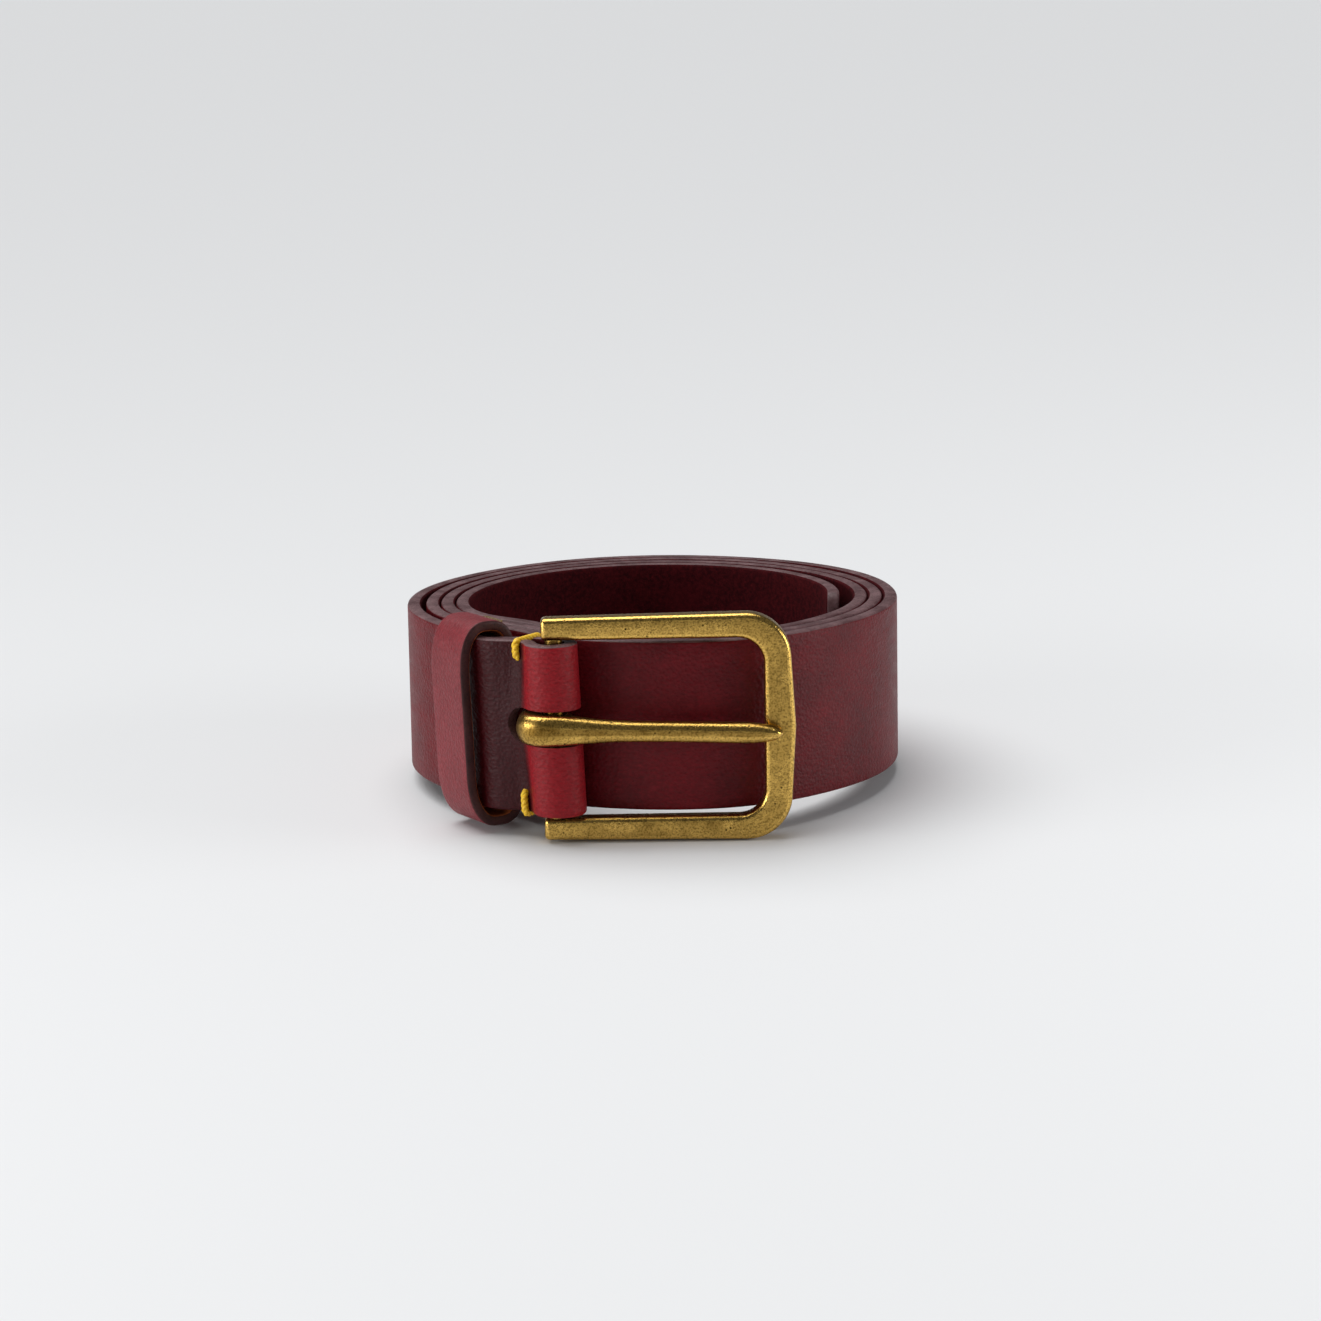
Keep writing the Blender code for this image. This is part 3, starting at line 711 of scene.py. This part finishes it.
def make_strap(grain, flesh, edge):
    path = strap_path()
    shape = ribbon(path, False, STRAP_WIDTH, 0.0, STRAP_ROWS)
    along = shape.verts.layers.float["along"]
    total = path_length(path)
    tail = path_length(tail_layer(4))
    bar_left = tail + math.radians(WRAP_START - WRAP_END) * WRAP_RADIUS
    shape.normal_update()
    weights = []
    for vert in shape.verts:
        from_tip = total - vert[along]
        if from_tip < TIP_CORNER:
            inset = TIP_CORNER - math.sqrt(TIP_CORNER ** 2 - (TIP_CORNER - from_tip) ** 2)
            vert.co.z += (STRAP_WIDTH / 2 - vert.co.z) * inset / (STRAP_WIDTH / 2)
        past_bar = vert[along] - bar_left
        held = min(max((KEEPER_END - past_bar) / SKEW_FADE, 0.0), 1.0)
        held *= min(vert[along] / tail, 1.0)
        swell = math.exp(-((past_bar - SLOT_SWELL_FROM_BAR) / SLOT_SWELL_LENGTH) ** 2
                         - ((vert.co.z - SLOT_MIDDLE) / SLOT_SWELL_HEIGHT) ** 2)
        vert.co += vert.normal * SLOT_SWELL * swell
        vert.co.x += SKEW * (0.5 - vert.co.z / STRAP_WIDTH) * held
        drift = noise.noise(Vector((vert[along] / EDGE_DRIFT_LENGTH, EDGE_DRIFT_SEED, 0.0)))
        vert.co.z += EDGE_DRIFT * drift + FOLD_RISE * held * vert.co.z / STRAP_WIDTH
        weights.append(min(TAIL_SKIVE + (1.0 - TAIL_SKIVE) * vert[along] / tail, 1.0))
    item = new_object("belt_strap", shape, [grain, flesh, edge])
    group = item.vertex_groups.new(name="leather")
    for index, weight in enumerate(weights):
        group.add([index], weight, "REPLACE")
    add_modifier(item, "Leather", "SOLIDIFY", thickness=STRAP_THICKNESS, offset=0.0,
                 use_even_offset=True, vertex_group=group.name, material_offset=1,
                 material_offset_rim=2)
    add_modifier(item, "Rounded edge", "BEVEL", width=STRAP_EDGE, segments=3,
                 limit_method="ANGLE", angle_limit=math.radians(60.0))

    bar = Matrix.Translation((BAR_X, BAR_Y, SLOT_MIDDLE))
    round_cut = cylinder(WRAP_RADIUS + STRAP_THICKNESS / 2 + SLOT_CLEAR, SLOT_HEIGHT, 64, bar)
    neck = obround(SLOT_HEIGHT / 2, SLOT_LENGTH - SLOT_HEIGHT / 2, SLOT_BACK, SLOT_FRONT,
                   bar @ Matrix.Rotation(math.radians(SLOT_HEADING), 4, "Z"))
    tools = [cut_with(item, round_cut, edge), cut_with(item, neck, edge)]
    punches = bmesh.new()
    for i in range(HOLE_COUNT):
        place, normal = along_path(path[::-1], FIRST_HOLE + i * HOLE_SPACING)
        aim = Vector((normal.x, normal.y, 0)).to_track_quat("Z", "Y").to_matrix().to_4x4()
        matrix = Matrix.Translation((place.x, place.y, STRAP_WIDTH / 2)) @ aim
        bmesh.ops.create_cone(punches, cap_ends=True, segments=24, radius1=HOLE_RADIUS,
                              radius2=HOLE_RADIUS, depth=STRAP_THICKNESS + GAP, matrix=matrix)
    tools.append(cut_with(item, punches, edge))
    return finished(item, STAND, "belt", "burgundy_leather", "strap", tools=tools)


def make_tacks(yellow):
    """Hand-sewn tacks over the strap's two edges, through front layer and tail."""
    place, normal = along_path(front_layer(6), TACK_FROM_BAR)
    stand_off = THREAD_RADIUS
    outer = place + normal * (STRAP_THICKNESS / 2 + stand_off)
    inner = outer - normal * (TACK_THROUGH + 2 * stand_off)
    for side, edge, inset in (("upper", STRAP_WIDTH, -UPPER_TACK_INSET),
                              ("lower", 0.0, LOWER_TACK_INSET)):
        hole = edge + inset
        over = edge - math.copysign(TACK_PROUD * stand_off, inset)
        corners = [Vector((outer.x, outer.y, hole)), Vector((outer.x, outer.y, over)),
                   Vector((inner.x, inner.y, over)), Vector((inner.x, inner.y, hole))]
        item = twisted_thread(f"tack_thread_{side}", rounded_ring(corners, TACK_CORNER), True,
                              THREAD_RADIUS, yellow)
        finished(item, STAND @ skew(), "belt", "yellow_thread", f"{side}_tack", sharp=80.0)


def make_frame(brass):
    """Cast frame with its heel bar, as one piece of brass. The bar is slim enough for the
    slanted fold to clear it."""
    half_opening = FRAME_OPENING / 2
    right_inner = FRAME_RIGHT - FRAME_FAR_BAR
    slope = (FRAME_ARM_FAR_END - FRAME_ARM_BAR_END) / (right_inner - FRAME_LEFT)
    corner_x = FRAME_RIGHT - FRAME_BOW - FRAME_OUTER_CORNER
    corner_y = (half_opening + FRAME_ARM_BAR_END + slope * (corner_x - FRAME_LEFT)
                - FRAME_OUTER_CORNER)
    upper = [Vector((FRAME_LEFT, half_opening + FRAME_ARM_BAR_END))]
    upper += arc(corner_x, corner_y, FRAME_OUTER_CORNER, 90.0, 5.0, 20)
    upper.append(Vector((FRAME_RIGHT, 0.0)))
    inner = arc(right_inner - FRAME_INNER_CORNER, half_opening - FRAME_INNER_CORNER,
                FRAME_INNER_CORNER, 0.0, 90.0, 16)
    inner.append(Vector((FRAME_LEFT, half_opening)))
    mirrored = [Vector((p.x, -p.y)) for p in reversed(upper[:-1])]
    lower_inner = [Vector((p.x, -p.y)) for p in reversed(inner)]
    shape = flat_plate(upper + mirrored + lower_inner + inner, FRAME_DEPTH)
    bmesh.ops.translate(shape, verts=shape.verts, vec=(0, BAR_Y, FRAME_MIDDLE))
    item = new_object("brass_buckle_frame", shape, [brass])
    add_modifier(item, "Cast edge", "BEVEL", width=FRAME_EDGE, segments=5,
                 limit_method="ANGLE", angle_limit=math.radians(40.0))
    bar = new_object("heel_bar", cylinder(HEEL_BAR_RADIUS, HEEL_BAR_LENGTH, 48,
                                          Matrix.Translation((BAR_X, BAR_Y, FRAME_MIDDLE))),
                     [brass])
    add_modifier(item, "Heel bar", "BOOLEAN", operation="UNION", object=bar, solver="EXACT")
    finished(item, STAND, "frame", "antique_brass", "buckle_frame", tools=[bar])
    mark_wear_and_highlight(item)
    return item


def make_prong(brass):
    """Prong cast with an eye that closes round the heel bar."""
    rest = BAR_Y - FRAME_DEPTH / 2 - GAP
    eye = arc(PRONG_EYE_X, PRONG_EYE_Y, PRONG_EYE_RADIUS, -85.0, -365.0, 56)
    back = [Vector((-14.0, rest - 0.6)), Vector((0.0, rest - 0.4)),
            Vector((14.0, rest)), Vector((22.0, rest))]
    tip = arc(PRONG_TIP_X - 2.0, rest - 2.0, 2.0, 60.0, -80.0, 14)
    front = [Vector((18.0, rest - 4.1)), Vector((4.0, rest - 4.1)),
             Vector((-10.0, rest - 4.6))]
    shape = bmesh.new()
    verts = [shape.verts.new((p.x, p.y, -PRONG_HEIGHT / 2)) for p in eye + back + tip + front]
    face = shape.faces.new(verts)
    pushed = bmesh.ops.extrude_face_region(shape, geom=[face])["geom"]
    moved = [v for v in pushed if isinstance(v, bmesh.types.BMVert)]
    bmesh.ops.translate(shape, verts=moved, vec=(0, 0, PRONG_HEIGHT))
    bmesh.ops.recalc_face_normals(shape, faces=shape.faces)
    rims = [e for e in shape.edges if abs(e.verts[0].co.z - e.verts[1].co.z) < 0.01]
    bmesh.ops.bevel(shape, geom=rims, affect="EDGES", offset=PRONG_ROUNDING,
                    offset_type="OFFSET", segments=8, profile=0.5, material=-1)
    heel_end = PRONG_EYE_X - PRONG_EYE_RADIUS
    for step in range(1, PRONG_CUTS):
        swing = math.cos(math.pi * step / PRONG_CUTS)
        cut = (heel_end + PRONG_TIP_X + (heel_end - PRONG_TIP_X) * swing) / 2
        bmesh.ops.bisect_plane(shape, geom=shape.verts[:] + shape.edges[:] + shape.faces[:],
                               plane_co=(cut, 0, 0), plane_no=(1, 0, 0))
    length = PRONG_TIP_X - PRONG_EYE_X
    for vert in shape.verts:
        reach = min(max((vert.co.x - PRONG_EYE_X) / length, 0.0), 1.0)
        heel = math.exp(-(reach / PRONG_HEEL_REACH) ** 2)
        point = max(reach - PRONG_TAPER_START, 0.0) / PRONG_TAPER_LENGTH
        behind = min(max(PRONG_HEEL_ROUND - vert.co.x, 0.0) / PRONG_HEEL_LENGTH, 1.0)
        vert.co.z *= ((1.0 + (PRONG_HEEL_SCALE - 1.0) * heel + PRONG_SPREAD * reach)
                      * math.sqrt(1.0 - point ** 2) * math.sqrt(1.0 - behind ** 4))
        vert.co.z += PRONG_DROP * (0.5 - reach) + PRONG_MIDDLE
    item = new_object("brass_prong", shape, [brass])
    bore = cylinder(PRONG_BORE, 3 * PRONG_HEIGHT, 48,
                    Matrix.Translation((BAR_X, BAR_Y, PRONG_MIDDLE)))
    tool = cut_with(item, bore, brass)
    finished(item, STAND, "tongue", "antique_brass", "prong", tools=[tool])
    mark_wear_and_highlight(item)
    return item


def shoulder(angle, depth, height, front=False):
    """Point on one of the loop's upper shoulders, and the way out of the leather."""
    rise = KEEPER_FRONT_SHOULDER if front else KEEPER_BACK_SHOULDER
    power = 2.0 / (KEEPER_FRONT_SQUARENESS if front else KEEPER_BACK_SQUARENESS)
    side = -1.0 if front else 1.0
    across, up = max(math.cos(angle), 0.0), max(math.sin(angle), 0.0)
    place = Vector((side * across ** power * depth / 2,
                    height / 2 + rise * (up ** power - 1.0), 0.0))
    out = Vector((side * across ** (2.0 - power) * 2 / depth,
                  up ** (2.0 - power) / rise, 0.0))
    return place, out.normalized()


def keeper_outline(depth, height):
    """Closed loop, in (depth, height) coordinates round its centre."""
    back = [shoulder(math.pi / 2 * i / 18, depth, height)[0] for i in range(19)]
    front = [shoulder(math.pi / 2 * i / 18, depth, height, True)[0] for i in range(18)]
    upper = back + front[::-1]
    lower = [Vector((place.x, -place.y, 0.0)) for place in reversed(upper)]
    front_wall = [upper[-1].lerp(lower[0], i / 12) for i in range(1, 12)]
    back_wall = [lower[-1].lerp(upper[0], i / 12) for i in range(1, 12)]
    return upper + front_wall + lower + back_wall


def skew():
    """The buckle end's slant: nothing at mid-height, the lower edge to the right."""
    matrix = Matrix.Identity(4)
    matrix[0][2] = -SKEW / STRAP_WIDTH
    matrix[0][3] = SKEW / 2
    return matrix


def keeper_place():
    """Where the keeper stands: its height up the belt, its loop round the strap."""
    upright = Matrix(((0, 0, 1, 0), (1, 0, 0, 0), (0, 1, 0, 0), (0, 0, 0, 1)))
    return (STAND @ skew() @ Matrix.Translation((KEEPER_X, KEEPER_Y, KEEPER_MIDDLE))
            @ Matrix.Rotation(math.radians(KEEPER_HEADING), 4, "Z") @ upright)


def make_keeper(grain, flesh, edge, shaded_yellow_thread):
    """Loop of thinner leather, closed by a stitch over its upper back shoulder."""
    depth = KEEPER_DEPTH - KEEPER_LEATHER
    height = KEEPER_HEIGHT - KEEPER_LEATHER
    shape = ribbon(keeper_outline(depth, height)[::-1], True, KEEPER_WIDTH, -KEEPER_WIDTH / 2, 6)
    item = new_object("keeper_loop", shape, [grain, flesh, edge])
    add_modifier(item, "Leather", "SOLIDIFY", thickness=KEEPER_LEATHER, offset=0.0,
                 use_even_offset=True, material_offset=1, material_offset_rim=2)
    add_modifier(item, "Cut edge", "BEVEL", width=KEEPER_EDGE, segments=3,
                 limit_method="ANGLE", angle_limit=math.radians(60.0))
    finished(item, keeper_place(), "keeper_loop", "burgundy_leather", "keeper")

    skin, out = shoulder(math.radians(SEAM_ANGLE), depth, height)
    side = Vector((0, 0, SEAM_STITCH / 2))
    root = skin - out * GAP
    crown = skin + out * (KEEPER_LEATHER / 2 + SEAM_RADIUS)
    bend = Vector((0, 0, SEAM_CORNER))
    below = crown - out * SEAM_CORNER
    stitch = [root - side, below - side, crown - side + bend,
              crown + side - bend, below + side, root + side]
    # The seam is the yellow thread in darker colours, as painted shade where it lies behind the
    # keeper's top.
    thread = twisted_thread("keeper_seam_thread", stitch, False, SEAM_RADIUS, shaded_yellow_thread)
    finished(thread, keeper_place(), "keeper_loop", "yellow_thread", "keeper_stitch",
             sharp=80.0)


# --------------------------------------------------------------------- the studio

def make_floor(paper):
    shape = bmesh.new()
    bmesh.ops.create_grid(shape, x_segments=1, y_segments=1, size=FLOOR_REACH)
    floor = new_object("studio_floor", shape, [paper])


def softbox(name, at, towards, width, height, power):
    lamp = bpy.data.lights.new(name, "AREA")
    lamp.shape = "RECTANGLE"
    lamp.size = width
    lamp.size_y = height
    lamp.energy = power
    item = bpy.data.objects.new(name, lamp)
    bpy.context.scene.collection.objects.link(item)
    item.location = at
    item.rotation_mode = "QUATERNION"
    item.rotation_quaternion = (Vector(towards) - Vector(at)).to_track_quat("-Z", "Y")


def make_studio():
    world = bpy.data.worlds.new("studio")
    world.use_nodes = True
    backdrop = world.node_tree.nodes["Background"]
    backdrop.inputs["Color"].default_value = linear("#f2f4f8")
    backdrop.inputs["Strength"].default_value = 0.13
    bpy.context.scene.world = world
    bpy.context.scene.view_settings.view_transform = "Standard"
    sky = bpy.data.lights.new("big_overhead_silk", "SUN")
    sky.energy = 2.68
    sky.angle = math.radians(62.0)
    item = bpy.data.objects.new("big_overhead_silk", sky)
    bpy.context.scene.collection.objects.link(item)
    item.rotation_mode = "QUATERNION"
    item.rotation_quaternion = Vector((0.3, -0.25, -1.0)).to_track_quat("-Z", "Y")
    softbox("left_softbox", (-0.7, -0.3, 0.16), (-0.03, -0.04, 0.02), 0.5, 0.28, 2.6)
    softbox("right_softbox", (0.75, -0.12, 0.2), (0.04, -0.02, 0.02), 0.5, 0.34, 2.4)


def make_camera():
    down, roll = math.radians(CAMERA_DOWN), math.radians(CAMERA_ROLL)
    forward = Vector((0.0, math.cos(down), -math.sin(down)))
    level_up = Vector((0.0, math.sin(down), math.cos(down)))
    right = Vector((math.cos(roll), 0.0, 0.0)) + level_up * math.sin(roll)
    up = Vector((-math.sin(roll), 0.0, 0.0)) + level_up * math.cos(roll)
    turn = Matrix((right, up, -forward)).transposed().to_4x4()
    lens = bpy.data.cameras.new("camera")
    lens.lens = CAMERA_LENS
    lens.sensor_width = 36.0
    lens.clip_start = 0.01
    lens.clip_end = 30.0
    item = bpy.data.objects.new("camera", lens)
    bpy.context.scene.collection.objects.link(item)
    place = STAND @ Vector(CAMERA_AT)
    item.matrix_world = (Matrix.Translation(place) @ Matrix.Rotation(-LEAN, 4, "X") @ turn)
    bpy.context.scene.camera = item


# Strap grain: the fold over the bar is painted brighter, partly stretched leather and partly
# painted light, and the crease beside it is painted dark as painted shade.
strap_grain = grain_leather("bridle_leather_waxed_grain", 0.2, "#55040d", "#690914", "#7c1a23",
                            fold_light_and_crease_shade=("#8d141d", "#38080d"))
keeper_grain = grain_leather("bridle_leather_keeper_strip", 0.22, "#752a2f", "#833137", "#934247")
flesh_side = flesh_leather()
strap_edge = burnished_edge("burnished_leather_edge", "#1f0c0c", "#523335", "#785a5c")
keeper_edge = burnished_edge("stained_leather_edge", "#1a0606", "#381213", "#4a1f1e")
brass_finish = antique_brass()
thread_finish = waxed_thread("waxed_linen_thread_yellow", "#f2b41a", "#ffe03c")
# The keeper's seam is the same yellow thread, its colours darkened as painted shade.
seam_thread_painted_shade_finish = waxed_thread("waxed_linen_thread_yellow_painted_shade", "#57431f", "#8c7440")

make_strap(strap_grain, flesh_side, strap_edge)
make_tacks(thread_finish)
make_frame(brass_finish)
make_prong(brass_finish)
make_keeper(keeper_grain, keeper_flesh(), keeper_edge, seam_thread_painted_shade_finish)
make_floor(studio_paper())
make_studio()
make_camera()
